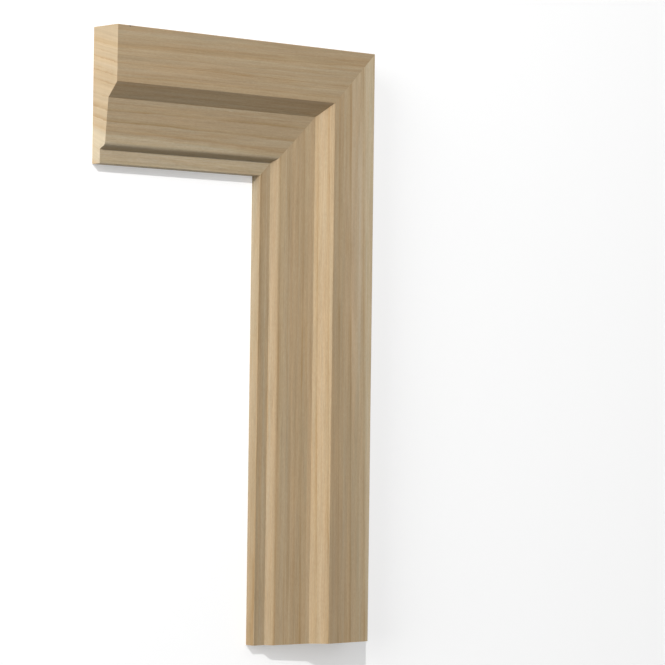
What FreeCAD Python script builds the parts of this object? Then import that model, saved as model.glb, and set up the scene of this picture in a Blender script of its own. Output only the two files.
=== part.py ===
import FreeCAD, Part
import os
import Sketcher

# A mitred corner of moulded timber architrave, in millimetres.
# The corner lies on its back. The origin is the sight line corner: the point on the back
# where the inner edges of the two pieces meet. X runs across the leg towards its outer
# edge and along the head, Y runs up the leg and across the head, and Z comes out of the
# moulded face.
# Both pieces are cut from one moulding, so they share one section, drawn across from the
# sight line and up from the back. From the sight line outward it is a thin flat lip,
# a steep rounded nose, a gently rising tapered face, a chamfer and a flat fascia that
# ends in a square outer edge.

SIZES = {
    # Section of the moulding
    "moulding_width": 70.0,
    "moulding_thickness": 20.0,
    "lip_width": 7.4,
    "lip_thickness": 6.3,
    "nose_lean": 2.0,
    "nose_height": 10.5,
    "nose_radius": 2.5,
    "chamfer_width": 7.7,
    "chamfer_depth": 7.1,
    "fascia_width": 29.0,
    "arris_radius": 0.5,
    # Lengths from the sight line corner to the sawn ends
    "leg_run": 250.0,
    "head_run": 107.0,
}

# The corners of the section in order, each with the size that rounds it or None
CORNERS = {
    "sight_edge": None,
    "lip_arris": "arris_radius",
    "lip_root": None,
    "nose": "nose_radius",
    "chamfer_foot": None,
    "fascia_arris": "arris_radius",
    "outer_arris": "arris_radius",
    "back_edge": None,
}

# The dimensions of the section: direction, first corner, second corner and size
DIMENSIONS = [
    ("DistanceX", "sight_edge", "lip_root", "lip_width"),
    ("DistanceY", "sight_edge", "lip_arris", "lip_thickness"),
    ("DistanceX", "lip_root", "nose", "nose_lean"),
    ("DistanceY", "sight_edge", "nose", "nose_height"),
    ("DistanceX", "chamfer_foot", "fascia_arris", "chamfer_width"),
    ("DistanceY", "chamfer_foot", "fascia_arris", "chamfer_depth"),
    ("DistanceX", "fascia_arris", "outer_arris", "fascia_width"),
    ("DistanceX", "sight_edge", "back_edge", "moulding_width"),
    ("DistanceY", "back_edge", "outer_arris", "moulding_thickness"),
]

# The sides of the section that are level or upright, named by the corner they start from
LEVEL_SIDES = ["lip_arris", "fascia_arris", "back_edge"]
UPRIGHT_SIDES = ["sight_edge", "outer_arris"]

# How a constraint names the sketch's own origin
ORIGIN = (-1, 1)


def make_sheet(document):
    """Put every size in a spreadsheet cell that has the size's name as its alias."""
    sheet = document.addObject("Spreadsheet::Sheet", "Sizes")
    for row, (name, value) in enumerate(SIZES.items(), start=1):
        sheet.set(f"A{row}", name)
        sheet.set(f"B{row}", str(value))
        sheet.setAlias(f"B{row}", name)
    document.recompute()
    return sheet


def corner_places(sheet):
    """Where the sharp corners of the section lie, across and up."""
    width = sheet.moulding_width
    thickness = sheet.moulding_thickness
    fascia_start = width - sheet.fascia_width
    chamfer_start = fascia_start - sheet.chamfer_width
    return {
        "sight_edge": (0, 0),
        "lip_arris": (0, sheet.lip_thickness),
        "lip_root": (sheet.lip_width, sheet.lip_thickness),
        "nose": (sheet.lip_width + sheet.nose_lean, sheet.nose_height),
        "chamfer_foot": (chamfer_start, thickness - sheet.chamfer_depth),
        "fascia_arris": (fascia_start, thickness),
        "outer_arris": (width, thickness),
        "back_edge": (width, 0),
    }


def new_sketch(body, name, plane_role):
    """An empty sketch on one of the body's own origin planes."""
    sketch = body.newObject("Sketcher::SketchObject", name)
    plane = next(item for item in body.Origin.OriginFeatures if item.Role == plane_role)
    sketch.AttachmentSupport = [(plane, "")]
    sketch.MapMode = "FlatFace"
    return sketch


def ends_of(line):
    """How a constraint names the start and the end of a line."""
    return (line, 1), (line, 2)


def bind(sketch, constraint, name, size):
    """Add a dimension to a sketch and tie it to a cell of the sheet."""
    index = sketch.addConstraint(constraint)
    sketch.renameConstraint(index, name)
    sketch.setExpression(f"Constraints.{name}", size)


def draw_section(body, plane_role, sheet):
    """The section of the moulding: a side from each corner to the next, then the rounding."""
    sketch = new_sketch(body, f"{body.Name}_section", plane_role)
    places = corner_places(sheet)
    names = list(CORNERS)
    next_names = names[1:] + names[:1]

    sides = {}
    corners = {}
    side_ends = {}
    for name, next_name in zip(names, next_names):
        here = FreeCAD.Vector(*places[name], 0)
        there = FreeCAD.Vector(*places[next_name], 0)
        sides[name] = sketch.addGeometry(Part.LineSegment(here, there))
        corners[name], side_ends[name] = ends_of(sides[name])

    for name, next_name in zip(names, next_names):
        joined = Sketcher.Constraint("Coincident", *side_ends[name], *corners[next_name])
        sketch.addConstraint(joined)
    sketch.addConstraint(Sketcher.Constraint("Coincident", *corners["sight_edge"], *ORIGIN))
    for name in LEVEL_SIDES:
        sketch.addConstraint(Sketcher.Constraint("Horizontal", sides[name]))
    for name in UPRIGHT_SIDES:
        sketch.addConstraint(Sketcher.Constraint("Vertical", sides[name]))

    for direction, first, second, size in DIMENSIONS:
        distance = Sketcher.Constraint(direction, *corners[first], *corners[second], sheet.get(size))
        bind(sketch, distance, size, f"Sizes.{size}")

    for name, size in CORNERS.items():
        if size is None:
            continue
        arc = sketch.GeometryCount
        radius = sheet.get(size)
        # The fillet keeps the sharp corner as a construction point, so the dimensions stay true
        sketch.fillet(*corners[name], radius, True, True)
        bind(sketch, Sketcher.Constraint("Radius", arc, radius), f"{name}_round", f"Sizes.{size}")
    return sketch


def draw_mitre_waste(body, sheet, above_line):
    """The triangle that the mitre takes off, above or below the line where X equals Y."""
    sketch = new_sketch(body, f"{body.Name}_mitre_waste", "XY_Plane")
    width = sheet.moulding_width
    inner = FreeCAD.Vector(0, 0, 0)
    outer = FreeCAD.Vector(width, width, 0)
    mitre = sketch.addGeometry(Part.LineSegment(inner, outer))
    inner_end, outer_end = ends_of(mitre)

    level_from, upright_to = (outer, inner) if above_line else (inner, outer)
    square = FreeCAD.Vector(upright_to.x, level_from.y, 0)
    level = sketch.addGeometry(Part.LineSegment(level_from, square))
    upright = sketch.addGeometry(Part.LineSegment(square, upright_to))
    level_start, level_end = ends_of(level)
    upright_start, upright_end = ends_of(upright)

    level_joint, upright_joint = (outer_end, inner_end) if above_line else (inner_end, outer_end)
    sketch.addConstraint(Sketcher.Constraint("Coincident", *inner_end, *ORIGIN))
    sketch.addConstraint(Sketcher.Constraint("Coincident", *level_start, *level_joint))
    sketch.addConstraint(Sketcher.Constraint("Coincident", *level_end, *upright_start))
    sketch.addConstraint(Sketcher.Constraint("Coincident", *upright_end, *upright_joint))
    sketch.addConstraint(Sketcher.Constraint("Horizontal", level))
    sketch.addConstraint(Sketcher.Constraint("Vertical", upright))
    for direction in ("DistanceX", "DistanceY"):
        reach = Sketcher.Constraint(direction, *ORIGIN, *outer_end, width)
        bind(sketch, reach, f"mitre_{direction}", "Sizes.moulding_width")
    return sketch


def make_piece(document, sheet, name, plane_role, ahead, behind, waste_above):
    """One length of moulding, padded both ways from the sight line corner and then mitred."""
    body = document.addObject("PartDesign::Body", name)
    body.Label = name
    body.Placement = FreeCAD.Placement()

    length = body.newObject("PartDesign::Pad", f"{name}_length")
    length.Profile = draw_section(body, plane_role, sheet)
    length.SideType = "Two sides"
    length.setExpression("Length", f"Sizes.{ahead}")
    length.setExpression("Length2", f"Sizes.{behind}")
    document.recompute()

    mitre = body.newObject("PartDesign::Pocket", f"{name}_mitre")
    mitre.Profile = draw_mitre_waste(body, sheet, waste_above)
    mitre.Type = "ThroughAll"
    # The waste is drawn on the back, so the cut goes up through the moulded face
    mitre.Reversed = True
    document.recompute()
    if mitre.Shape.Volume >= length.Shape.Volume:
        raise RuntimeError(f"The mitre took nothing off the {name}")

    body.Tip = mitre
    return body


def make_leg(document, sheet):
    """The upright: its section faces down the leg, and it keeps what is below the mitre line."""
    return make_piece(
        document, sheet, "leg", "XZ_Plane", "leg_run", "moulding_width", waste_above=True
    )


def make_head(document, sheet):
    """The level piece: its section faces the leg's outer edge, and it keeps what is above."""
    return make_piece(
        document, sheet, "head", "YZ_Plane", "moulding_width", "head_run", waste_above=False
    )


def check(document, pieces):
    """Stop if any object failed, or if a piece is empty or broken."""
    for item in document.Objects:
        if "Invalid" in item.State or "Error" in item.State:
            raise RuntimeError(f"{item.Label} failed: {item.State}")
    for piece in pieces:
        if piece.Shape.isNull() or not piece.Shape.isValid():
            raise RuntimeError(f"{piece.Label} has no valid shape")
        if len(piece.Shape.Solids) != 1:
            raise RuntimeError(f"{piece.Label} is not one solid")


def main():
    document = FreeCAD.newDocument("MitredArchitraveCorner")
    sheet = make_sheet(document)
    pieces = [make_leg(document, sheet), make_head(document, sheet)]
    document.recompute()
    check(document, pieces)
    os.makedirs("parts", exist_ok=True)
    for piece in pieces:
        piece.Shape.exportStep(f"parts/{piece.Label}.step")
        bounds = piece.Shape.BoundBox
        print(
            piece.Label,
            f"{bounds.XLength:.1f} x {bounds.YLength:.1f} x {bounds.ZLength:.1f} mm,",
            f"{piece.Shape.Volume / 1000:.1f} cubic centimetres",
        )


main()
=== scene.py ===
# %% [markdown]
# A mitred corner of architrave.
# Architrave is the moulding that trims the edge of a door opening. This sample has two
# pieces of one timber moulding, an upright leg and a level head, joined by a mitre.
# The lesson makes both pieces with one Geometry Nodes tree, because a machined moulding is
# the plainest case of a shape that follows a rule: one section, swept along a line.
# Most of the work then goes into the timber itself, whose growth rings have to agree
# on the faces, the slopes and the sawn end.

# %% Load the measured frame
import math
import bpy
from mathutils import Matrix, Vector


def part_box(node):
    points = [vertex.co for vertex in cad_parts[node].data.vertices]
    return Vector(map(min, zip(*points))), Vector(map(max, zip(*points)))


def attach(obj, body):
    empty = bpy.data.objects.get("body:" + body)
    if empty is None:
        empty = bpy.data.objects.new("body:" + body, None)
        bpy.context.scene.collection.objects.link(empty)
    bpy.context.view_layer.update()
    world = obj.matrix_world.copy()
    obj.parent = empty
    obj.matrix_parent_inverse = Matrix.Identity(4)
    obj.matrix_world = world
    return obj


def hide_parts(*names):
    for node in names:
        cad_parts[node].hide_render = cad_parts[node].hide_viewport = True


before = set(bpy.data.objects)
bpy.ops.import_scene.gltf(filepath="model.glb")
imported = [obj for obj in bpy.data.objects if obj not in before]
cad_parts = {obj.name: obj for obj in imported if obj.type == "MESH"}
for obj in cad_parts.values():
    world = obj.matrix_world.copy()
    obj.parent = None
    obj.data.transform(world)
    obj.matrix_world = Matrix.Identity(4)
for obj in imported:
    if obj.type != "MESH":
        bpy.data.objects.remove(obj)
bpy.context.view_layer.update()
print("Frame nodes:", sorted(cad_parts))

# %% [markdown]
# The sizes come first. The frame is the measured model, so the outer sizes are read from it.
# The sight line corner, where the two inner edges meet, is the origin: the leg runs down
# from it along -Y and the head runs away from it along -X.
# The sizes inside the section are a carpenter's: a lip, a rounded nose, a chamfer, a flat fascia.

# %% Name the sizes of the moulding
MM = 0.001

leg_low, leg_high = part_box("leg")
head_low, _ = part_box("head")

SECTION = {
    "Width": leg_high.x - leg_low.x,
    "Thickness": leg_high.z - leg_low.z,
    "Lip Width": 7.4 * MM,
    "Lip Thickness": 6.3 * MM,
    "Nose Lean": 2.0 * MM,
    "Nose Height": 10.5 * MM,
    "Nose Radius": 2.5 * MM,
    "Chamfer Width": 7.7 * MM,
    "Chamfer Depth": 7.1 * MM,
    "Fascia Width": 29.0 * MM,
    "Arris Radius": 0.5 * MM,
}
LEG_RUN = -leg_low.y
HEAD_RUN = -head_low.x

for name, size in SECTION.items():
    print(f"{name}: {size / MM:.1f} mm")
print(f"Leg run {LEG_RUN / MM:.1f} mm, head run {HEAD_RUN / MM:.1f} mm")

# %% [markdown]
# Node trees are long to write out, so three small helpers keep them readable.
# The first makes an empty tree with named sockets, the second adds one node and fills its
# inputs with values or links, and the third is a shorthand for arithmetic.

# %% Helpers for building node trees
SOCKET_KINDS = {
    "float": "NodeSocketFloat",
    "vector": "NodeSocketVector",
    "colour": "NodeSocketColor",
    "geometry": "NodeSocketGeometry",
    "material": "NodeSocketMaterial",
}
COLUMN_WIDTH = 190
COLUMN_HEIGHT = 5
ROW_HEIGHT = 220


def new_tree(name, kind, takes, gives):
    """An empty node group whose inputs and outputs are given as name: kind pairs."""
    tree = bpy.data.node_groups.new(name, kind)
    for socket_name, socket_kind in takes.items():
        tree.interface.new_socket(
            name=socket_name, in_out="INPUT", socket_type=SOCKET_KINDS[socket_kind]
        )
    for socket_name, socket_kind in gives.items():
        tree.interface.new_socket(
            name=socket_name, in_out="OUTPUT", socket_type=SOCKET_KINDS[socket_kind]
        )
    return tree


def add(tree, kind, title, inputs=None, **settings):
    """One labelled node. An input is a value, or another node's output to link from."""
    column, row = divmod(len(tree.nodes), COLUMN_HEIGHT)
    node = tree.nodes.new(kind)
    node.label = title
    node.location = (column * COLUMN_WIDTH, -row * ROW_HEIGHT)
    for name, setting in settings.items():
        setattr(node, name, setting)
    for socket, value in (inputs or {}).items():
        if isinstance(value, bpy.types.NodeSocket):
            tree.links.new(value, node.inputs[socket])
        else:
            node.inputs[socket].default_value = value
    return node


def calc(tree, operation, first, second=0.0, third=0.0, title="", clamp=False):
    """One arithmetic node, and back comes its answer."""
    node = add(
        tree, "ShaderNodeMath", title or operation.title(), {0: first, 1: second, 2: third},
        operation=operation, use_clamp=clamp,
    )
    return node.outputs[0]


def vector_of(tree, x, y, z=0.0, title="Point"):
    """Three numbers joined into one vector."""
    return add(tree, "ShaderNodeCombineXYZ", title, {"X": x, "Y": y, "Z": z}).outputs[0]


print("Helpers ready")

# %% [markdown]
# The section is drawn as a loop of eight corners, named by how far each lies across from
# the sight line and up from the back. A mesh circle with eight points gives the loop, an Index
# Switch puts each point in its place, and a Fillet Curve rounds the corners that the
# knives of a moulding machine leave round. The radius is a field too, so that one node
# can round the nose, ease the long edges slightly and leave the inner corners sharp.

# %% Draw the section of the moulding
CORNER_COUNT = 8
FILLET_SEGMENTS = 10


def pick_by_index(tree, data_type, choices, title):
    """A field that gives the first choice to point 0, the second to point 1, and so on."""
    switch = add(tree, "GeometryNodeIndexSwitch", title, data_type=data_type)
    while len(switch.index_switch_items) < len(choices):
        switch.index_switch_items.new()
    index = add(tree, "GeometryNodeInputIndex", "Corner number").outputs[0]
    tree.links.new(index, switch.inputs["Index"])
    for number, choice in enumerate(choices):
        socket = switch.inputs[number + 1]
        if isinstance(choice, bpy.types.NodeSocket):
            tree.links.new(choice, socket)
        else:
            socket.default_value = choice
    return switch.outputs[0]


def draw_section(tree, given):
    """The closed outline of the moulding, with X across from the sight line and Y up."""
    fascia_start = calc(tree, "SUBTRACT", given["Width"], given["Fascia Width"])
    chamfer_start = calc(tree, "SUBTRACT", fascia_start, given["Chamfer Width"])
    chamfer_up = calc(tree, "SUBTRACT", given["Thickness"], given["Chamfer Depth"])
    nose_across = calc(tree, "ADD", given["Lip Width"], given["Nose Lean"])
    corners = [
        (0.0, 0.0, 0.0),
        (0.0, given["Lip Thickness"], given["Arris Radius"]),
        (given["Lip Width"], given["Lip Thickness"], 0.0),
        (nose_across, given["Nose Height"], given["Nose Radius"]),
        (chamfer_start, chamfer_up, 0.0),
        (fascia_start, given["Thickness"], given["Arris Radius"]),
        (given["Width"], given["Thickness"], given["Arris Radius"]),
        (given["Width"], 0.0, 0.0),
    ]
    places = [vector_of(tree, across, up, title="Corner") for across, up, _ in corners]
    radii = [radius for _, _, radius in corners]

    loop = add(tree, "GeometryNodeMeshCircle", "Eight corners", {"Vertices": CORNER_COUNT})
    placed = add(tree, "GeometryNodeSetPosition", "Put corners in place", {
        "Geometry": loop.outputs["Mesh"],
        "Position": pick_by_index(tree, "VECTOR", places, "Corner places"),
    })
    curve = add(tree, "GeometryNodeMeshToCurve", "Outline", {"Mesh": placed.outputs[0]})
    rounded = add(tree, "GeometryNodeFilletCurve", "Round the corners", {
        "Curve": curve.outputs[0],
        "Count": FILLET_SEGMENTS,
        "Radius": pick_by_index(tree, "FLOAT", radii, "Corner radii"),
    }, mode="POLY")
    return rounded.outputs[0]


print("The section has", CORNER_COUNT, "corners before rounding")

# %% [markdown]
# A mitre is a cut at 45 degrees across the moulding. A boolean could saw it, but it would
# leave odd triangles. Here the rule is simpler: at the mitre each point of the section slides
# along the run by as much as it lies across, so the outer edge ends up longer than the
# inner edge by the moulding's whole width. The slide fades out towards the other end,
# which keeps every line straight and every face flat.
# The leg and the head meet on the same plane, where X equals Y.

# %% Sweep the section into a mitred run
RUN_STEPS = 64
SHARP_EDGE_DEGREES = 20
UP = (0, 0, 1)


def capture(tree, geometry, domain, kind, value, title):
    """Store a field on the geometry, and give back the geometry and the stored field."""
    node = add(tree, "GeometryNodeCaptureAttribute", title, domain=domain)
    node.capture_items.new(kind, title)
    tree.links.new(geometry, node.inputs["Geometry"])
    tree.links.new(value, node.inputs[title])
    return node.outputs["Geometry"], node.outputs[title]


def combine(tree, operation, first, second, title):
    """One vector sum, and back comes its answer. A scale takes a vector and a number."""
    second_socket = "Scale" if operation == "SCALE" else 1
    return add(tree, "ShaderNodeVectorMath", title, {0: first, second_socket: second},
               operation=operation).outputs[0]


def place_on_run(tree, given, along, section_place):
    """Where a point belongs: along the run, out from the sight line and up from the back."""
    travel = combine(tree, "SUBTRACT", given["End"], given["Start"], "Run")
    heading = add(tree, "ShaderNodeVectorMath", "Direction of the run", {0: travel},
                  operation="NORMALIZE").outputs[0]
    outward = combine(tree, "CROSS_PRODUCT", UP, heading, "Outward")
    section = add(tree, "ShaderNodeSeparateXYZ", "Across and up", {0: section_place}).outputs

    at_end = calc(tree, "MULTIPLY", given["Mitre End"], along)
    from_end = calc(tree, "SUBTRACT", 1.0, along)
    at_start = calc(tree, "MULTIPLY", given["Mitre Start"], from_end)
    slide = calc(tree, "SUBTRACT", at_end, at_start)
    slide = calc(tree, "MULTIPLY", slide, section["X"], title="Mitre slide")

    place = given["Start"]
    for direction, amount, title in (
        (travel, along, "Along the run"),
        (outward, section["X"], "Across"),
        (UP, section["Y"], "Up"),
        (heading, slide, "Slide to the mitre"),
    ):
        place = combine(tree, "ADD", place, combine(tree, "SCALE", direction, amount, title), "Add")
    return place


def keep_edges_crisp(tree, geometry):
    """Smooth faces that meet in sharp edges wherever the surface turns by more than a little."""
    smooth = add(tree, "GeometryNodeSetShadeSmooth", "Smooth faces", {
        "Geometry": geometry, "Shade Smooth": True,
    }, domain="FACE")
    angle = add(tree, "GeometryNodeInputMeshEdgeAngle", "Edge angle").outputs["Unsigned Angle"]
    sharp = add(tree, "FunctionNodeCompare", "Sharp edges", {
        0: angle, 1: math.radians(SHARP_EDGE_DEGREES),
    }, data_type="FLOAT", operation="GREATER_THAN")
    creased = add(tree, "GeometryNodeSetShadeSmooth", "Keep corners crisp", {
        "Geometry": smooth.outputs[0], "Selection": sharp.outputs[0], "Shade Smooth": False,
    }, domain="EDGE")
    return creased.outputs[0]


def build_moulding_tree():
    """The whole moulding: draw, sweep, mitre, face outwards, keep crisp, and give the timber."""
    takes = {name: "float" for name in SECTION}
    takes |= {"Start": "vector", "End": "vector", "Mitre Start": "float", "Mitre End": "float"}
    takes |= {"Timber": "material"}
    tree = new_tree("Mitred moulding", "GeometryNodeTree", takes, {"Geometry": "geometry"})
    given = add(tree, "NodeGroupInput", "Sizes").outputs

    section = draw_section(tree, given)
    place = add(tree, "GeometryNodeInputPosition", "Place in the section").outputs[0]
    section, section_place = capture(tree, section, "POINT", "VECTOR", place, "Section Place")

    line = add(tree, "GeometryNodeCurvePrimitiveLine", "Sight line", {
        "Start": given["Start"], "End": given["End"],
    })
    steps = add(tree, "GeometryNodeResampleCurve", "Rings along the run", {
        "Curve": line.outputs[0], "Count": RUN_STEPS,
    })
    factor = add(tree, "GeometryNodeSplineParameter", "Place along the run").outputs["Factor"]
    path, along = capture(tree, steps.outputs[0], "POINT", "FLOAT", factor, "Along")
    swept = add(tree, "GeometryNodeCurveToMesh", "Sweep", {
        "Curve": path, "Profile Curve": section, "Fill Caps": True,
    })
    placed = add(tree, "GeometryNodeSetPosition", "Mitre", {
        "Geometry": swept.outputs[0], "Position": place_on_run(tree, given, along, section_place),
    })
    outside = add(tree, "GeometryNodeFlipFaces", "Face outwards", {"Mesh": placed.outputs[0]})
    creased = keep_edges_crisp(tree, outside.outputs[0])
    real = add(tree, "GeometryNodeRealizeInstances", "Real mesh", {0: creased})
    timbered = add(tree, "GeometryNodeSetMaterial", "Timber", {
        "Geometry": real.outputs[0], "Material": given["Timber"],
    })
    add(tree, "NodeGroupOutput", "Moulding", {0: timbered.outputs[0]})
    return tree


moulding_tree = build_moulding_tree()
print("Moulding tree:", len(moulding_tree.nodes), "nodes")

# %% [markdown]
# Both pieces come from the one tree. Only the run and the mitred end differ, and they are
# handed to the modifier by each socket's identifier, since names are only labels.
# The result is frozen into a plain mesh. A wide flat next to a small rounding would be
# shaded as if it curved, because smooth shading averages the faces round each point, so a
# Weighted Normal modifier lets the widest face decide.

# %% Make a length of moulding
def freeze(piece):
    """Turn what the modifiers make into the piece's own plain mesh."""
    evaluated = piece.evaluated_get(bpy.context.evaluated_depsgraph_get())
    mesh = bpy.data.meshes.new_from_object(evaluated)
    mesh.name = piece.name
    piece.modifiers.clear()
    piece.data = mesh


def make_moulding(name, timber, start, end, mitre_start=0.0, mitre_end=0.0):
    """One length of moulding along its sight line. A mitre of 1 is a 45 degree cut."""
    piece = bpy.data.objects.new(name, bpy.data.meshes.new(name))
    bpy.context.scene.collection.objects.link(piece)
    modifier = piece.modifiers.new("Moulding", "NODES")
    modifier.node_group = moulding_tree
    settings = dict(SECTION)
    settings |= {"Start": start, "End": end, "Mitre Start": mitre_start, "Mitre End": mitre_end}
    settings |= {"Timber": timber}
    for socket in moulding_tree.interface.items_tree:
        if socket.in_out == "INPUT":
            modifier[socket.identifier] = settings[socket.name]
    freeze(piece)

    weighted = piece.modifiers.new("Flat faces stay flat", "WEIGHTED_NORMAL")
    weighted.keep_sharp = True
    freeze(piece)
    return piece


def box_in_mm(piece):
    """The lowest and the highest corner of the piece's own mesh."""
    corners = [point.co / MM for point in piece.data.vertices]
    low = [round(min(corner[axis] for corner in corners), 2) for axis in range(3)]
    high = [round(max(corner[axis] for corner in corners), 2) for axis in range(3)]
    return low, high


print("Ready to make lengths of moulding")

# %% [markdown]
# Timber is solid, so its figure is worked out in three directions and the faces only cut
# through it. That is why a growth ring carries on from the sawn end over the arris and
# along the face. An image could not do that without a seam.
# Each piece gets board coordinates in millimetres: along the grain, across from the sight
# line, and up from the back. A Mapping node turns them to suit the piece.
# The first group says how far a point lies across the rings. The rings lean a little, so
# height counts too, and near the lip they may curl up more steeply. They spread as they run
# down the board: the outer rings drift outwards and the inner ones inwards. In the leg that
# is towards the foot, and in the head towards the mitre. They also wander a little.

# %% Group: distance across the growth rings
BOARD_LOW = -12.0
BOARD_SPAN = 100.0
# A noise texture gives about 0.25 to 0.75, and this gain makes that -1 to 1
NOISE_GAIN = 4.0

# Each noise: its stretch along, across and up the board, then its detail and its roughness
RING_NOISES = {
    "Wander": ((0.018, 0.04, 0.02), 2.0, 0.4),
    "Feather": ((0.05, 1.1, 0.25), 3.0, 0.6),
}


def noise(tree, point, seed, name, pattern):
    """Noise from about -1 to 1 that is drawn out along the board as its pattern says."""
    stretch, detail, roughness = pattern
    stretched = add(tree, "ShaderNodeVectorMath", "Stretch", {0: point, 1: stretch},
                    operation="MULTIPLY").outputs[0]
    texture = add(tree, "ShaderNodeTexNoise", name, {
        "Vector": stretched, "W": seed, "Scale": 1.0, "Detail": detail, "Roughness": roughness,
    }, noise_dimensions="4D")
    return calc(tree, "MULTIPLY_ADD", texture.outputs["Fac"], NOISE_GAIN, -NOISE_GAIN / 2, name)


def build_ring_distance_group():
    """How far a point of the board lies across the rings, in millimetres."""
    takes = {"Board Point": "vector", "Tilt": "float", "Curl": "float", "Flare": "float"}
    takes |= {"Straight From": "float", "Straight To": "float"}
    takes |= {name: "float" for name in RING_NOISES}
    takes |= {"Seed": "float"}
    tree = new_tree("Ring distance", "ShaderNodeTree", takes, {"Distance": "float"})
    given = add(tree, "NodeGroupInput", "Given").outputs
    point = given["Board Point"]
    board = add(tree, "ShaderNodeSeparateXYZ", "Along, across, up", {0: point}).outputs

    leaning = calc(tree, "MULTIPLY_ADD", board["Z"], given["Tilt"], board["Y"], "Rings lean")
    outer = calc(tree, "SUBTRACT", leaning, given["Straight To"])
    outer = calc(tree, "MAXIMUM", outer, 0.0, title="Outside the straight rings")
    inner = calc(tree, "SUBTRACT", leaning, given["Straight From"])
    inner = calc(tree, "MINIMUM", inner, 0.0, title="Inside the straight rings")
    beyond = calc(tree, "ADD", outer, inner)
    flare = calc(tree, "MULTIPLY", beyond, given["Flare"])
    flare = calc(tree, "MULTIPLY", flare, board["X"], title="Rings spread")
    distance = calc(tree, "SUBTRACT", leaning, flare)
    curl = calc(tree, "MULTIPLY", inner, given["Curl"])
    curl = calc(tree, "MULTIPLY", curl, board["Z"], title="Inner rings curl up")
    distance = calc(tree, "SUBTRACT", distance, curl)

    for name, pattern in RING_NOISES.items():
        shift = noise(tree, point, given["Seed"], name, pattern)
        distance = calc(tree, "MULTIPLY_ADD", shift, given[name], distance, f"{name} added")
    add(tree, "NodeGroupOutput", "Result", {"Distance": distance})
    return tree


ring_distance_group = build_ring_distance_group()
print("Ring distance group:", len(ring_distance_group.nodes), "nodes")

# %% [markdown]
# No two years are alike, so the rings are a short list and not a wave. Each entry says where
# a ring's dark line lies, how strong the line is, how light the wood is there, and its hue,
# from golden at 0 through plain at 0.5 to a pale grey green at 1. Where the strength is 0
# there is no line, and the entry only marks a change in the wood's shade.
# A colour ramp can hold all four, one in each channel: red counts the rings, green is the
# line's strength, blue is the lightness and alpha is the hue. Between two stops red rises
# by one ring, so its fraction says how far through the year a point is.

# %% Growth rings of the two pieces
# Each ring: place in mm, strength of its line, lightness of the wood, hue of the wood
LEG_RINGS = [
    (0.4, 0.0, 1.14, 1.0), (3.0, 0.9, 0.90, 0.1), (6.4, 0.0, 1.02, 0.8), (9.5, 0.0, 1.00, 0.65),
    (14.2, 0.7, 0.99, 0.2), (17.0, 0.0, 1.02, 0.6), (19.8, 0.9, 0.94, 0.6), (22.3, 0.0, 1.04, 0.5),
    (25.8, 0.4, 0.98, 0.5), (29.6, 1.0, 0.94, 0.3), (32.6, 0.0, 1.04, 0.55),
    (38.6, 0.8, 1.06, 0.3), (39.4, 0.0, 1.13, 0.6), (43.9, 0.8, 1.05, 0.25),
    (46.6, 0.0, 0.99, 0.5), (50.5, 0.9, 1.00, 0.45), (53.0, 0.0, 1.02, 0.55),
    (58.8, 1.0, 1.03, 0.5), (64.0, 0.0, 1.07, 0.75), (68.0, 0.9, 1.14, 0.6),
    (69.1, 0.0, 1.27, 1.0), (74.0, 0.0, 1.32, 1.0), (79.0, 0.5, 1.20, 0.5),
]
HEAD_RINGS = [
    (-7.0, 0.0, 1.06, 0.5), (-4.0, 0.0, 1.10, 1.0), (2.4, 0.0, 1.12, 1.0), (3.8, 0.1, 1.13, 0.8),
    (5.2, 0.0, 1.17, 1.0), (10.9, 0.1, 1.14, 1.0), (15.0, 0.0, 1.13, 1.0), (17.4, 0.6, 0.99, 0.55),
    (23.2, 0.9, 0.97, 0.65), (29.6, 0.9, 0.96, 0.6), (36.8, 0.8, 0.96, 0.65),
    (38.8, 0.0, 0.98, 0.6), (42.2, 0.0, 0.98, 0.5), (43.9, 0.8, 0.90, 0.3), (45.6, 0.0, 0.97, 0.6),
    (48.6, 0.8, 0.97, 0.3), (50.4, 0.6, 0.97, 0.6), (53.0, 0.0, 1.01, 0.7),
    (55.4, 1.0, 0.97, 0.35), (57.5, 0.0, 0.98, 0.6), (60.3, 0.4, 0.98, 0.6),
    (63.2, 0.4, 1.00, 0.6), (64.7, 0.0, 1.04, 0.6), (65.4, 0.5, 0.96, 0.25),
    (67.9, 0.0, 0.88, 0.05), (68.8, 0.0, 0.98, 0.55), (71.0, 0.0, 0.97, 0.6),
    (77.0, 0.1, 0.97, 0.65),
]
FIRST_RING = (BOARD_LOW, 0.5, 1.0, 0.5)
LAST_RING = (BOARD_LOW + BOARD_SPAN, 0.5, 1.0, 0.5)
# Lightness goes above 1, so the ramp holds half of it
LIGHTNESS_HELD = 0.5


def fill_ring_ramp(ramp, rings):
    """One stop for each ring, holding its number, line strength, lightness and hue."""
    history = [FIRST_RING] + rings + [LAST_RING]
    last = len(history) - 1
    while len(ramp.elements) < len(history):
        ramp.elements.new(0.5)
    for number, (place, strength, lightness, hue) in enumerate(history):
        stop = ramp.elements[number]
        stop.position = (place - BOARD_LOW) / BOARD_SPAN
        stop.color = (number / last, strength, lightness * LIGHTNESS_HELD, hue)
    return last


print("Leg rings:", len(LEG_RINGS), "head rings:", len(HEAD_RINGS))

# %% [markdown]
# The second group turns that into a surface. It weighs and mixes many things, so a few more
# helpers come first: two that mix, one that turns one range of numbers into another, one
# that multiplies, one that adds up named things by their weights, one that tints, and one
# that makes a grey to tint with.

# %% Helpers for mixing
# A Mix node has a set of sockets for each kind of data: its two inputs, then its output
MIX_NUMBERS = (2, 3, 0)
MIX_COLOURS = (6, 7, 2)


def blend_colour(tree, factor, first, second, title, blend_type="MIX"):
    """The first colour where the factor is zero, the second where it is one."""
    from_first, from_second, result = MIX_COLOURS
    node = add(tree, "ShaderNodeMix", title, {
        0: factor, from_first: first, from_second: second,
    }, data_type="RGBA", blend_type=blend_type)
    return node.outputs[result]


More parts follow.
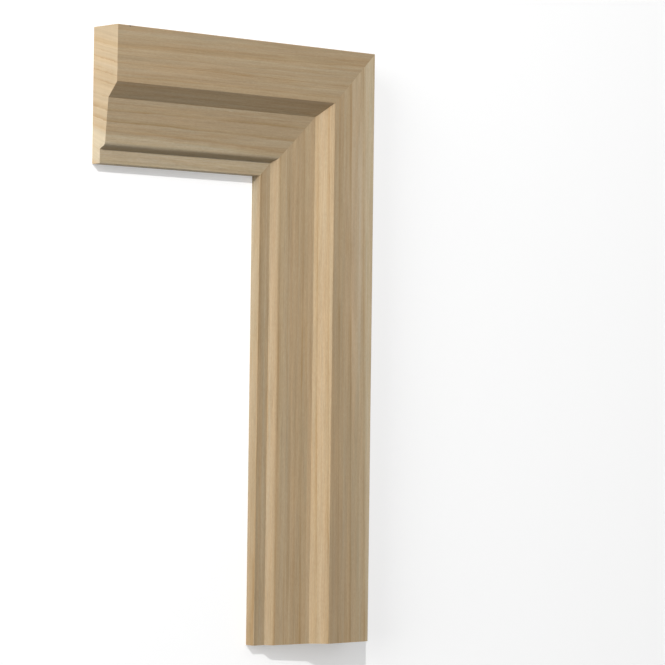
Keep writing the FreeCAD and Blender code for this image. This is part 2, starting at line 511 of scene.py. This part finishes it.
def blend_value(tree, factor, first, second, title):
    """The first number where the factor is zero, the second where it is one."""
    from_first, from_second, result = MIX_NUMBERS
    node = add(tree, "ShaderNodeMix", title, {
        0: factor, from_first: first, from_second: second,
    }, data_type="FLOAT")
    return node.outputs[result]


def remap(tree, value, low, high, to_low=0.0, to_high=1.0, title="Remap", smooth=False):
    """Turn the range from low to high into another range, and hold the ends."""
    node = add(tree, "ShaderNodeMapRange", title, {
        "Value": value, "From Min": low, "From Max": high, "To Min": to_low, "To Max": to_high,
    }, interpolation_type="SMOOTHSTEP" if smooth else "LINEAR")
    return node.outputs["Result"]


def product(tree, first, *others, title):
    """All the factors multiplied together."""
    for other in others:
        first = calc(tree, "MULTIPLY", first, other, title=title)
    return first


def weigh(tree, weights, sources, total, title):
    """Add to the total each source that has a weight, times its weight."""
    for name, weight in weights.items():
        total = calc(tree, "MULTIPLY_ADD", sources[name], weight, total, f"{name}: {title}")
    return total


def tint(tree, colour, tints, title):
    """Multiply the colour by each tint in turn, as fully as the tint's factor says."""
    for factor, tinge in tints:
        colour = blend_colour(tree, factor, colour, tinge, title, "MULTIPLY")
    return colour


def grey(tree, value, title="Lighten or darken"):
    """A colour that lightens or darkens whatever it multiplies."""
    return add(tree, "ShaderNodeCombineColor", title, {0: value, 1: value, 2: value}).outputs[0]


print("Mixing helpers ready")

# %% [markdown]
# Within a year the wood goes from pale to a slightly warmer tan, ends in a thin brown line,
# and starts pale again at once. The line rises fast and stops faster, which is what makes it
# sharp on one side and soft on the other. On the sawn end the late wood shows as a broader band.

# %% Follow the course of one year
# Where in the year each change begins and where it is complete
LATE_WOOD_BEGINS = (0.45, 0.70)
LINE_BEGINS = (0.68, 0.94)
LINE_ENDS = (0.95, 1.0)
FIRST_GROWTH_ENDS = (0.02, 0.18)


def follow_year(tree, phase, strength):
    """The parts of the year that stand out, each as far as the year's line is strong."""
    late = remap(tree, phase, *LATE_WOOD_BEGINS, title="Late wood begins", smooth=True)
    begun = remap(tree, phase, *LINE_BEGINS, title="Line begins", smooth=True)
    going = remap(tree, phase, *LINE_ENDS, 1.0, 0.0, "Line ends", smooth=True)
    fresh = remap(tree, phase, *FIRST_GROWTH_ENDS, 1.0, 0.0, "First growth ends", smooth=True)
    return {
        "Line": product(tree, begun, going, strength, title="Line"),
        "Late wood": product(tree, late, going, strength, title="Late wood"),
        "First growth": product(tree, fresh, strength, title="First growth"),
    }


print("The line takes up the year from", LINE_BEGINS[0], "to", LINE_ENDS[1])

# %% [markdown]
# Streaks, fibres and short flecks are noise stretched along the grain. Thin dark threads
# are drawn where such a noise passes through zero, because that makes long lines that
# come and go. One more noise casts some streaks a little pink and others a little green.
# Every noise is a line in a list, so that the whole figure of the wood can be tuned in one place.

# %% Paint the long faces
# Each noise: its stretch along, across and up the board, then its detail and its roughness
WOOD_NOISES = {
    "Strength along the lines": ((0.020, 0.16, 0.12), 2.0, 0.5),
    "Streaks": ((0.016, 0.34, 0.34), 4.0, 0.65),
    "Fibres": ((0.045, 1.5, 1.5), 3.0, 0.65),
    "Short grain": ((0.14, 2.6, 2.6), 2.0, 0.6),
    "Flecks": ((0.5, 2.6, 2.6), 1.0, 0.5),
    "Threads": ((0.006, 0.34, 0.34), 3.0, 0.7),
    "Colour cast": ((0.009, 0.34, 0.34), 5.0, 0.75),
    "Pores": ((0.3, 4.5, 4.5), 1.0, 0.5),
    "Saw marks": ((0.2, 0.03, 0.9), 1.0, 0.4),
}
# How much each lightens and darkens the face
FACE_SHADES = {"Streaks": 0.11, "Fibres": 0.07, "Short grain": 0.07, "Flecks": 0.07}
# How far each stands proud, in tenths of a millimetre: a hard ring line wears the least
FACE_RELIEF = {"Fibres": 0.12, "Short grain": 0.08, "Line": 0.25}
# Where the noise is weak and where it is strong, for lines that come and go
NOISE_SWING = (-0.5, 0.5)
FACE_LINE_STRENGTH = (0.25, 1.0)
THREAD_HALF_WIDTH = 0.16
THREAD_STRENGTH = 0.45
WARMING_POWER = 1.4
FLECK_CAST = 0.4
PINK_STREAK = (1.05, 0.975, 0.90, 1.0)
GREEN_STREAK = (0.95, 1.025, 1.10, 1.0)


def paint_face(tree, given, year, wood, hues):
    """The colour and the height of a face that is cut along the grain."""
    fade = remap(
        tree, wood["Strength along the lines"], *NOISE_SWING, *FACE_LINE_STRENGTH, "Come and go"
    )
    threads = calc(tree, "ABSOLUTE", wood["Threads"])
    threads = remap(tree, threads, 0.0, THREAD_HALF_WIDTH, 1.0, 0.0, "Threads", smooth=True)
    threads = product(tree, threads, fade, THREAD_STRENGTH, title="Thin dark threads")
    line = product(tree, year["Line"], fade, title="Ring line")
    line = calc(tree, "MAXIMUM", line, threads, title="Lines and threads")

    warmth = calc(tree, "POWER", given["Ring Phase"], WARMING_POWER, title="Warming in the year")
    colour = blend_colour(tree, warmth, given["Early Wood"], given["Late Wood"], "Early to late")
    colour = blend_colour(tree, line, colour, given["Line Wood"], "Lines on the face")
    shade = weigh(tree, FACE_SHADES, wood, 1.0, "shade")
    shade = product(tree, shade, given["Lightness"], title="Face shade")
    cast = calc(tree, "MULTIPLY_ADD", wood["Flecks"], FLECK_CAST, wood["Colour cast"], "Cast")
    cast = remap(tree, cast, -1.0, 1.0, title="Pink to green")
    cast = blend_colour(tree, cast, PINK_STREAK, GREEN_STREAK, "Pink and green streaks")
    colour = tint(tree, colour, [(1.0, grey(tree, shade)), (1.0, cast)] + hues, "Tinted face")

    height = weigh(tree, FACE_RELIEF, wood | {"Line": line}, 0.0, "relief")
    return colour, height


print("Noises in the wood:", ", ".join(WOOD_NOISES))

# %% [markdown]
# On the sawn end the same rings show, but the fibres are seen end on: the wood looks lighter
# and creamier there, with fine lines that follow the rings and a few faint saw marks. Noise
# that follows the rings takes the ring distance as its first direction, and so bends with them.

# %% Paint the sawn end
# Each noise: its stretch across the rings, up and along the board, then detail and roughness
END_NOISES = {
    "Broad bands": ((0.22, 0.02, 0.02), 2.0, 0.5),
    "Fine lines": ((0.9, 0.035, 0.05), 3.0, 0.65),
    "Rays": ((0.05, 1.3, 0.05), 1.0, 0.5),
}
END_LINES = {"Late wood": 0.65, "Line": 0.45}
END_LINE_STRENGTH = (0.4, 1.1)
END_SHADES = {
    "First growth": 0.07, "Broad bands": 0.04, "Fine lines": 0.09, "Rays": 0.015, "Pores": 0.02,
}
END_RELIEF = {"Saw marks": 0.2, "Pores": 0.15}


def paint_end(tree, given, year, wood, hues):
    """The colour and the height of a face that is sawn across the grain."""
    point = given["Board Point"]
    board = add(tree, "ShaderNodeSeparateXYZ", "Along, across, up", {0: point}).outputs
    ring_side = vector_of(
        tree, given["Ring Distance"], board["Z"], board["X"], "Beside the rings"
    )
    ringed = {
        name: noise(tree, ring_side, given["Seed"], name, pattern)
        for name, pattern in END_NOISES.items()
    }
    fade = remap(
        tree, wood["Strength along the lines"], *NOISE_SWING, *END_LINE_STRENGTH, "Come and go"
    )
    line = weigh(tree, END_LINES, year, 0.0, "on the end")
    line = product(tree, line, fade, title="Rings on the end")

    colour = blend_colour(tree, line, given["End Wood"], given["End Line"], "Ringed end")
    shade = weigh(tree, END_SHADES, wood | ringed | year, 1.0, "shade")
    shade = product(tree, shade, given["Lightness"], title="End shade")
    colour = tint(tree, colour, [(1.0, grey(tree, shade))] + hues, "Tinted end")

    height = weigh(tree, END_RELIEF, wood, 0.0, "relief")
    return colour, height


print("Noises on the sawn end:", ", ".join(END_NOISES))

# %% [markdown]
# The group now joins the two. It takes what is known of a point in the board and gives back
# a colour, a roughness and a height. The shader itself stays in the material.

# %% Group: the surface of the timber
GREEN_CAST = (0.98, 1.08, 1.21, 1.0)
GOLD_CAST = (1.03, 1.0, 0.93, 1.0)
PLAIN_HUE = 0.5
FACE_ROUGHNESS = 0.60
FIBRE_ROUGHNESS = {"Fibres": 0.03}
END_ROUGHNESS = 0.78


def build_timber_group():
    """The colour, the roughness and the height of the wood at a point of the board."""
    takes = {"Board Point": "vector", "Seed": "float", "End Grain": "float"}
    takes |= {"Ring Distance": "float", "Ring Phase": "float"}
    takes |= {"Line Strength": "float", "Lightness": "float", "Hue": "float"}
    takes |= {"Early Wood": "colour", "Late Wood": "colour", "Line Wood": "colour"}
    takes |= {"End Wood": "colour", "End Line": "colour"}
    gives = {"Colour": "colour", "Roughness": "float", "Height": "float"}
    tree = new_tree("Timber surface", "ShaderNodeTree", takes, gives)
    given = add(tree, "NodeGroupInput", "Given").outputs

    wood = {
        name: noise(tree, given["Board Point"], given["Seed"], name, pattern)
        for name, pattern in WOOD_NOISES.items()
    }
    year = follow_year(tree, given["Ring Phase"], given["Line Strength"])
    hues = [
        (remap(tree, given["Hue"], PLAIN_HUE, 1.0, title="How much greener"), GREEN_CAST),
        (remap(tree, given["Hue"], PLAIN_HUE, 0.0, title="How much more golden"), GOLD_CAST),
    ]
    face, face_height = paint_face(tree, given, year, wood, hues)
    end, end_height = paint_end(tree, given, year, wood, hues)
    face_roughness = weigh(tree, FIBRE_ROUGHNESS, wood, FACE_ROUGHNESS, "roughness")

    end_grain = given["End Grain"]
    add(tree, "NodeGroupOutput", "Result", {
        "Colour": blend_colour(tree, end_grain, face, end, "Face or sawn end"),
        "Roughness": blend_value(tree, end_grain, face_roughness, END_ROUGHNESS, "Of either"),
        "Height": blend_value(tree, end_grain, face_height, end_height, "Height of either"),
    })
    return tree


timber_group = build_timber_group()
print("Timber surface group:", len(timber_group.nodes), "nodes")

# %% [markdown]
# Cut timber also picks up small marks: a chip where the saw or a knock took a corner off, a
# splinter, a scuff. Each is a soft egg shape with a ragged edge, set in the board at its own
# place, so it shows on whichever face cuts through it. The group says how far inside the
# mark a point is. Patches and long streaks of browner or paler wood, which the rings don't
# account for, are made in the same way. The marks also carry painted light: the chip and the
# splinter are darkened as painted shade, the scuffs and an edge by the chip are lightened as
# painted highlights, and a long mark along the head's nose is painted shade.

# %% Group: a small mark at one place
# In half sizes, with the ragged edge added: whole up to the first and gone at the second
MARK_EDGE = (0.8, 1.4)
RAGGED_SCALE = 1.3
RAGGED_DETAIL = 2.0
RAGGED_REACH = 0.8


def build_mark_group():
    """One where a point is inside the mark and zero where it is outside."""
    takes = {"Board Point": "vector", "Centre": "vector", "Half Size": "vector"}
    tree = new_tree("Small mark", "ShaderNodeTree", takes, {"Mask": "float"})
    given = add(tree, "NodeGroupInput", "Given").outputs
    offset = add(tree, "ShaderNodeVectorMath", "From its centre", {
        0: given["Board Point"], 1: given["Centre"],
    }, operation="SUBTRACT").outputs[0]
    offset = add(tree, "ShaderNodeVectorMath", "In half sizes", {
        0: offset, 1: given["Half Size"],
    }, operation="DIVIDE").outputs[0]
    rough = add(tree, "ShaderNodeTexNoise", "Ragged edge", {
        "Vector": offset, "Scale": RAGGED_SCALE, "Detail": RAGGED_DETAIL,
    }).outputs["Fac"]
    reach = add(tree, "ShaderNodeVectorMath", "How far out", {0: offset}, operation="LENGTH")
    ragged = calc(tree, "MULTIPLY_ADD", rough, RAGGED_REACH, reach.outputs["Value"])
    mask = remap(tree, ragged, *MARK_EDGE, 1.0, 0.0, "Inside the mark", smooth=True)
    add(tree, "NodeGroupOutput", "Result", {"Mask": mask})
    return tree


mark_group = build_mark_group()
print("Small mark group:", len(mark_group.nodes), "nodes")

# %% [markdown]
# Before the timber is mixed, each point of the piece is found in its board: where it lies,
# and how far its face is turned towards the end of the grain. Then the list of rings is read
# there.
# The two boards were sawn from opposite sides of the log. In the leg the years run from the
# lip outwards, and in the head they run from the outer edge back towards the lip, so its dark
# lines are sharp on the side of the lip. One switch turns the year round.

# %% Read the rings at a point of the board
END_GRAIN_FACING = (0.45, 0.9)


def place_in_board(tree, turn_degrees):
    """Where a point lies in the board, in millimetres, and how far it faces along the grain."""
    place = add(tree, "ShaderNodeTexCoord", "Place on the piece").outputs
    turn = (0.0, 0.0, math.radians(turn_degrees))
    board = add(tree, "ShaderNodeMapping", "Board point in millimetres", {
        "Vector": place["Object"], "Scale": (1 / MM, 1 / MM, 1 / MM), "Rotation": turn,
    }).outputs[0]
    facing = add(tree, "ShaderNodeMapping", "Facing in board directions", {
        "Vector": place["Normal"], "Rotation": turn,
    }, vector_type="VECTOR").outputs[0]
    along = add(tree, "ShaderNodeSeparateXYZ", "Facing", {0: facing}).outputs["X"]
    along = calc(tree, "ABSOLUTE", along)
    return board, remap(tree, along, *END_GRAIN_FACING, title="End grain", smooth=True)


def read_rings(tree, distance, rings, years_run_outward):
    """What the list of rings says of a point: the time of year, line, lightness and hue."""
    across = remap(tree, distance, BOARD_LOW, BOARD_LOW + BOARD_SPAN, title="Across the board")
    history = add(tree, "ShaderNodeValToRGB", "Growth rings", {0: across})
    ring_count = fill_ring_ramp(history.color_ramp, rings)
    channels = add(tree, "ShaderNodeSeparateColor", "Ring, strength, lightness", {
        0: history.outputs["Color"],
    }).outputs
    phase = calc(tree, "MULTIPLY", channels[0], ring_count, title="Rings counted")
    phase = calc(tree, "FRACT", phase, title="Time of year")
    if not years_run_outward:
        phase = calc(tree, "SUBTRACT", 1.0, phase, title="Years run inward")
    return {
        "Ring Phase": phase,
        "Line Strength": channels[1],
        "Lightness": calc(tree, "DIVIDE", channels[2], LIGHTNESS_HELD, title="Lightness"),
        "Hue": history.outputs["Alpha"],
    }


print("A face counts as sawn end where it faces along the grain by", END_GRAIN_FACING)

# %% [markdown]
# Colours are picked as they look on a screen and turned into the linear values that Blender
# works with. The light then changes them: the level faces come out a touch darker than their
# colour, and the sawn end and the slopes that face the main light come out paler.

# %% Mix the timber
def linear(red, green, blue):
    """A screen colour, 0 to 255 in each channel, as Blender's linear colour."""
    def channel(value):
        value /= 255
        return value / 12.92 if value <= 0.04045 else ((value + 0.055) / 1.055) ** 2.4
    return (channel(red), channel(green), channel(blue), 1.0)


WOOD_COLOURS = {
    "Early Wood": linear(172, 150, 119),
    "Late Wood": linear(169, 146, 113),
    "Line Wood": linear(155, 127, 87),
    "End Wood": linear(187, 165, 133),
    "End Line": linear(173, 146, 109),
}
BUMP_DEPTH = 0.1 * MM
BUMP_STRENGTH = 0.35
DULL_SPECULAR = 0.3


def make_timber(name, turn_degrees, rings, years_run_outward, ring_course, marks, seed):
    """Unfinished timber for one piece, with its board turned to lie along the piece."""
    timber = bpy.data.materials.new(name)
    timber.use_nodes = True
    tree = timber.node_tree
    tree.nodes.clear()

    board, end_grain = place_in_board(tree, turn_degrees)
    distance = add(tree, "ShaderNodeGroup", "Ring distance", node_tree=ring_distance_group, inputs={
        "Board Point": board, "Seed": seed, **ring_course,
    }).outputs["Distance"]
    surface = add(tree, "ShaderNodeGroup", "Timber surface", node_tree=timber_group, inputs={
        "Board Point": board, "Seed": seed, "End Grain": end_grain, "Ring Distance": distance,
        **read_rings(tree, distance, rings, years_run_outward), **WOOD_COLOURS,
    }).outputs

    colour = surface["Colour"]
    height = surface["Height"]
    for mark, (centre, half_size, shade, depth) in marks.items():
        mask = add(tree, "ShaderNodeGroup", mark, node_tree=mark_group, inputs={
            "Board Point": board, "Centre": centre, "Half Size": half_size,
        }).outputs["Mask"]
        colour = blend_colour(tree, mask, colour, (*shade, 1.0), f"{mark} colour", "MULTIPLY")
        height = calc(tree, "MULTIPLY_ADD", mask, -depth, height, f"{mark} depth")

    bump = add(tree, "ShaderNodeBump", "Fine relief", {
        "Height": height, "Distance": BUMP_DEPTH, "Strength": BUMP_STRENGTH,
    }).outputs[0]
    shader = add(tree, "ShaderNodeBsdfPrincipled", "Bare timber", {
        "Base Color": colour, "Roughness": surface["Roughness"], "Normal": bump,
        "Specular IOR Level": DULL_SPECULAR,
    })
    add(tree, "ShaderNodeOutputMaterial", "Surface", {0: shader.outputs[0]})
    return timber


print("Wood colours:", ", ".join(WOOD_COLOURS))

# %% [markdown]
# What is left is to say how the rings of each board run and which marks it carries. In the
# leg they run almost straight. In the head they flare more towards the mitre and curl up by
# the lip. The marks come from the saw, from knocks, and from the tree itself, and some of them
# are painted shade or painted highlights. Each board has a seed of its own, so that their
# streaks and fibres differ.

# %% Make the timber of the two boards
# How the rings run. The last four values of each board are in millimetres.
LEG_COURSE = {
    "Tilt": 0.25, "Curl": 0.0, "Flare": 0.00036, "Straight From": 19.0, "Straight To": 19.0,
    "Wander": 0.3, "Feather": 0.3,
}
HEAD_COURSE = {
    "Tilt": 0.25, "Curl": 0.013, "Flare": 0.003, "Straight From": 28.0, "Straight To": 56.0,
    "Wander": 0.7, "Feather": 0.45,
}
# Each mark: its centre and its half size in mm, the colour that darkens or lightens the wood,
# and its depth in tenths of a millimetre
LEG_MARKS = {
    # A shallow dent whose paleness is a painted highlight where it catches the light
    "Scratch with a painted highlight": ((78.5, 35.7, 15.1), (6.0, 0.6, 0.8), (1.05, 1.06, 1.08), 0.5),
    "Brown patch": ((215.0, 46.0, 20.0), (80.0, 9.0, 14.0), (0.94, 0.94, 0.95), 0.0),
    "Pale patch": ((30.0, 57.3, 20.0), (120.0, 8.5, 16.0), (1.12, 1.14, 1.21), 0.0),
    "Brown lip edge": ((250.0, 0.6, 7.3), (170.0, 1.6, 2.0), (0.88, 0.87, 0.85), 0.0),
    "Brown streak": ((170.0, 19.1, 12.0), (90.0, 1.3, 4.0), (0.90, 0.89, 0.87), 0.0),
    "Pale streak": ((170.0, 16.3, 12.0), (90.0, 1.3, 4.0), (1.06, 1.06, 1.07), 0.0),
}
HEAD_MARKS = {
    # The chip and the splinter are real dents, and their dark colour is painted shade in the hollow
    "Chip in the arris, darkened by painted shade": ((-99.2, 69.7, 20.0), (0.8, 0.7, 0.8), (0.30, 0.28, 0.26), 3.0),
    "Splinter, darkened by painted shade": ((-97.2, 69.7, 20.0), (2.2, 0.4, 0.6), (0.62, 0.60, 0.58), 1.5),
    # A painted highlight along the arris, on the lit side of the chip
    "Painted highlight beside the chip": ((-101.8, 69.9, 20.0), (2.0, 0.4, 0.5), (1.12, 1.12, 1.15), 0.0),
    # A shallow dent whose paleness is a painted highlight where it catches the light
    "Scuff with a painted highlight": ((-26.3, 32.0, 12.8), (1.8, 0.6, 0.9), (1.10, 1.12, 1.17), 0.5),
    "Brown streak on the lip": ((-35.0, 1.8, 6.3), (80.0, 1.0, 3.0), (0.90, 0.90, 0.89), 0.0),
    "Pale streak on the lip": ((-60.0, 4.6, 6.3), (100.0, 3.0, 3.0), (1.05, 1.065, 1.11), 0.0),
    # Painted shade along the head's nose: the wood there is darkened to stand for the shade its
    # slope gets
    "Painted shade in the nose": ((-50.0, 8.6, 8.5), (140.0, 2.4, 4.0), (0.92, 0.92, 0.92), 0.0),
}
leg_timber = make_timber(
    "Leg timber", turn_degrees=90, rings=LEG_RINGS, years_run_outward=True,
    ring_course=LEG_COURSE, marks=LEG_MARKS, seed=3.0,
)
head_timber = make_timber(
    "Head timber", turn_degrees=0, rings=HEAD_RINGS, years_run_outward=False,
    ring_course=HEAD_COURSE, marks=HEAD_MARKS, seed=7.0,
)
print("Materials:", leg_timber.name, "and", head_timber.name)

# %% [markdown]
# Now the pieces themselves. Each stands for the plain piece of the measured frame, so its
# box is printed beside that piece's as it takes its place.

# %% Make the leg and the head
leg = make_moulding(
    "leg_moulding", leg_timber, start=(0.0, 0.0, 0.0), end=(0.0, -LEG_RUN, 0.0), mitre_start=1.0
)
head = make_moulding(
    "head_moulding", head_timber, start=(-HEAD_RUN, 0.0, 0.0), end=(0.0, 0.0, 0.0), mitre_end=1.0
)
for piece, node, slot in ((leg, "leg", "leg_timber"), (head, "head", "head_timber")):
    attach(piece, "root")
    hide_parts(node)
    low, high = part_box(node)
    print(piece.name, "box in mm:", box_in_mm(piece), "with", len(piece.data.polygons), "faces")
    print("   the frame's box:", [round(v / MM, 2) for v in low], [round(v / MM, 2) for v in high])

# %% [markdown]
# The moulding lies on a plain white floor. Under soft light a white floor comes out a light
# grey, so it glows a little as well, but only to the camera and in reflections: the glow
# lifts the background towards white and puts no light on the timber, and the floor
# still shows the shadows.

# %% Lay the floor
FLOOR_HALF = 4.0
# The floor lies a hair lower than the back of the moulding, so that they share no plane
FLOOR_DROP = 0.02 * MM
FLOOR_GLOW = 0.34
FLOOR_WHITE = (0.8, 0.8, 0.8, 1.0)
WHITE = (1.0, 1.0, 1.0, 1.0)


def seen_directly(tree):
    """One where the camera, a reflection or a see-through surface looks, otherwise zero."""
    path = add(tree, "ShaderNodeLightPath", "What looks").outputs
    direct = calc(tree, "ADD", path["Is Camera Ray"], path["Is Glossy Ray"])
    return calc(tree, "ADD", direct, path["Is Transmission Ray"], clamp=True, title="Seen directly")


def make_floor_material():
    """Matt white that glows a little where it is looked at."""
    material = bpy.data.materials.new("White floor")
    material.use_nodes = True
    tree = material.node_tree
    tree.nodes.clear()
    glow = calc(tree, "MULTIPLY", seen_directly(tree), FLOOR_GLOW, title="Glow")
    matt = add(tree, "ShaderNodeBsdfDiffuse", "Matt white", {"Color": FLOOR_WHITE})
    light = add(tree, "ShaderNodeEmission", "Glow", {"Color": WHITE, "Strength": glow})
    both = add(tree, "ShaderNodeAddShader", "Both", {0: matt.outputs[0], 1: light.outputs[0]})
    add(tree, "ShaderNodeOutputMaterial", "Surface", {0: both.outputs[0]})
    return material


floor_mesh = bpy.data.meshes.new("floor")
floor_corners = [
    (-FLOOR_HALF, -FLOOR_HALF, -FLOOR_DROP), (FLOOR_HALF, -FLOOR_HALF, -FLOOR_DROP),
    (FLOOR_HALF, FLOOR_HALF, -FLOOR_DROP), (-FLOOR_HALF, FLOOR_HALF, -FLOOR_DROP),
]
floor_mesh.from_pydata(floor_corners, [], [(0, 1, 2, 3)])
floor_mesh.materials.append(make_floor_material())
floor = bpy.data.objects.new("floor", floor_mesh)
bpy.context.scene.collection.objects.link(floor)
print("Floor:", 2 * FLOOR_HALF, "m square")

# %% [markdown]
# The light is a studio's. The main light comes from above, from the left and from beyond the
# head, so every slope that faces left is bright and every slope that faces the foot is dark,
# which is what makes the moulding's profile read. A wide soft light low on the left fills the
# sawn end and the leg's steep nose, and a faint one from above lifts the rest. The room adds
# a soft glow from all sides that is weaker from the foot's side.
# The strength of a lamp is written as how bright it makes a white surface that faces it.

# %% Light the moulding
# Distance and radius in metres
MAIN_LIGHT_FROM = Vector((-0.553, 0.437, 0.709))
MAIN_LIGHT_AWAY = 1.5
MAIN_LIGHT_RADIUS = 0.015
MAIN_LIGHT = 0.60
FILLS = {
    # Each fill: direction it comes from, brightness, spread in degrees
    "Left fill": ((-0.93, 0.25, 0.25), 0.62, 40),
    "Top fill": ((0.0, 0.50, 0.87), 0.06, 60),
}
ROOM_LIGHT = 0.26
ROOM_SLOPE = 0.55


def add_main_light():
    """A small round lamp near enough for the foot to get a little less than the corner."""
    lamp = bpy.data.lights.new("Main light", "POINT")
    # The power that makes a white surface at the corner as bright as MAIN_LIGHT says
    lamp.energy = 4 * math.pi ** 2 * MAIN_LIGHT_AWAY ** 2 * MAIN_LIGHT
    lamp.shadow_soft_size = MAIN_LIGHT_RADIUS
    holder = bpy.data.objects.new("Main light", lamp)
    holder.location = MAIN_LIGHT_FROM.normalized() * MAIN_LIGHT_AWAY
    bpy.context.scene.collection.objects.link(holder)


def add_fill(name, comes_from, brightness, spread):
    """A wide soft light from so far away that it is even all over the object."""
    lamp = bpy.data.lights.new(name, "SUN")
    # A sun lamp of strength pi makes a white surface fully bright
    lamp.energy = math.pi * brightness
    lamp.angle = math.radians(spread)
    holder = bpy.data.objects.new(name, lamp)
    holder.rotation_mode = "QUATERNION"
    holder.rotation_quaternion = Vector(comes_from).to_track_quat("Z", "Y")
    bpy.context.scene.collection.objects.link(holder)


def light_room():
    """A soft glow from all sides, stronger from beyond the head than from beyond the foot."""
    world = bpy.data.worlds.new("Studio")
    bpy.context.scene.world = world
    world.use_nodes = True
    tree = world.node_tree
    tree.nodes.clear()
    direction = add(tree, "ShaderNodeTexCoord", "Direction").outputs["Generated"]
    towards = add(tree, "ShaderNodeSeparateXYZ", "Direction", {0: direction}).outputs["Y"]
    slope = ROOM_LIGHT * ROOM_SLOPE
    strength = calc(tree, "MULTIPLY_ADD", towards, slope, ROOM_LIGHT, "Room light")
    strength = blend_value(tree, seen_directly(tree), strength, 1.0, "White when seen")
    room = add(tree, "ShaderNodeBackground", "Room", {"Color": WHITE, "Strength": strength})
    add(tree, "ShaderNodeOutputWorld", "World", {0: room.outputs[0]})


add_main_light()
for name, (comes_from, brightness, spread) in FILLS.items():
    add_fill(name, comes_from, brightness, spread)
light_room()
print("Lights: the main light,", ", ".join(FILLS), "and the room")

# %% [markdown]
# The camera looks down from the left through a long lens, about a metre and a half away.
# It is placed by three facts: where it stands, the point on the floor it aims at, and which
# way is up in the picture, because it is rolled by a degree or so.

# %% Place the camera
# Places in metres, lens and sensor in millimetres
CAMERA_PLACE = Vector((-0.99614, -0.11359, 1.17545))
CAMERA_AIM = Vector((0.05916, -0.08217, 0.0))
PICTURE_UP = Vector((-0.02296, 0.99972, 0.00633))
LENS = 156.18
SENSOR = 36.0


def place_camera():
    """A camera that stands, aims and is rolled as the values above say."""
    backward = (CAMERA_PLACE - CAMERA_AIM).normalized()
    right = PICTURE_UP.cross(backward).normalized()
    up = backward.cross(right)
    data = bpy.data.cameras.new("Camera")
    data.sensor_width = SENSOR
    data.lens = LENS
    camera = bpy.data.objects.new("Camera", data)
    turn = Matrix((right, up, backward)).transposed().to_4x4()
    camera.matrix_world = Matrix.Translation(CAMERA_PLACE) @ turn
    bpy.context.scene.collection.objects.link(camera)
    bpy.context.scene.camera = camera


place_camera()
print("Camera", round((CAMERA_PLACE - CAMERA_AIM).length, 3), "m from its aim point")

# %% [markdown]
# Last, the Standard view shows colours as they are written. The two boxes are kept, so
# that the dressed pieces can be held against the measured model.

# %% Finish
bpy.context.scene.view_settings.view_transform = "Standard"
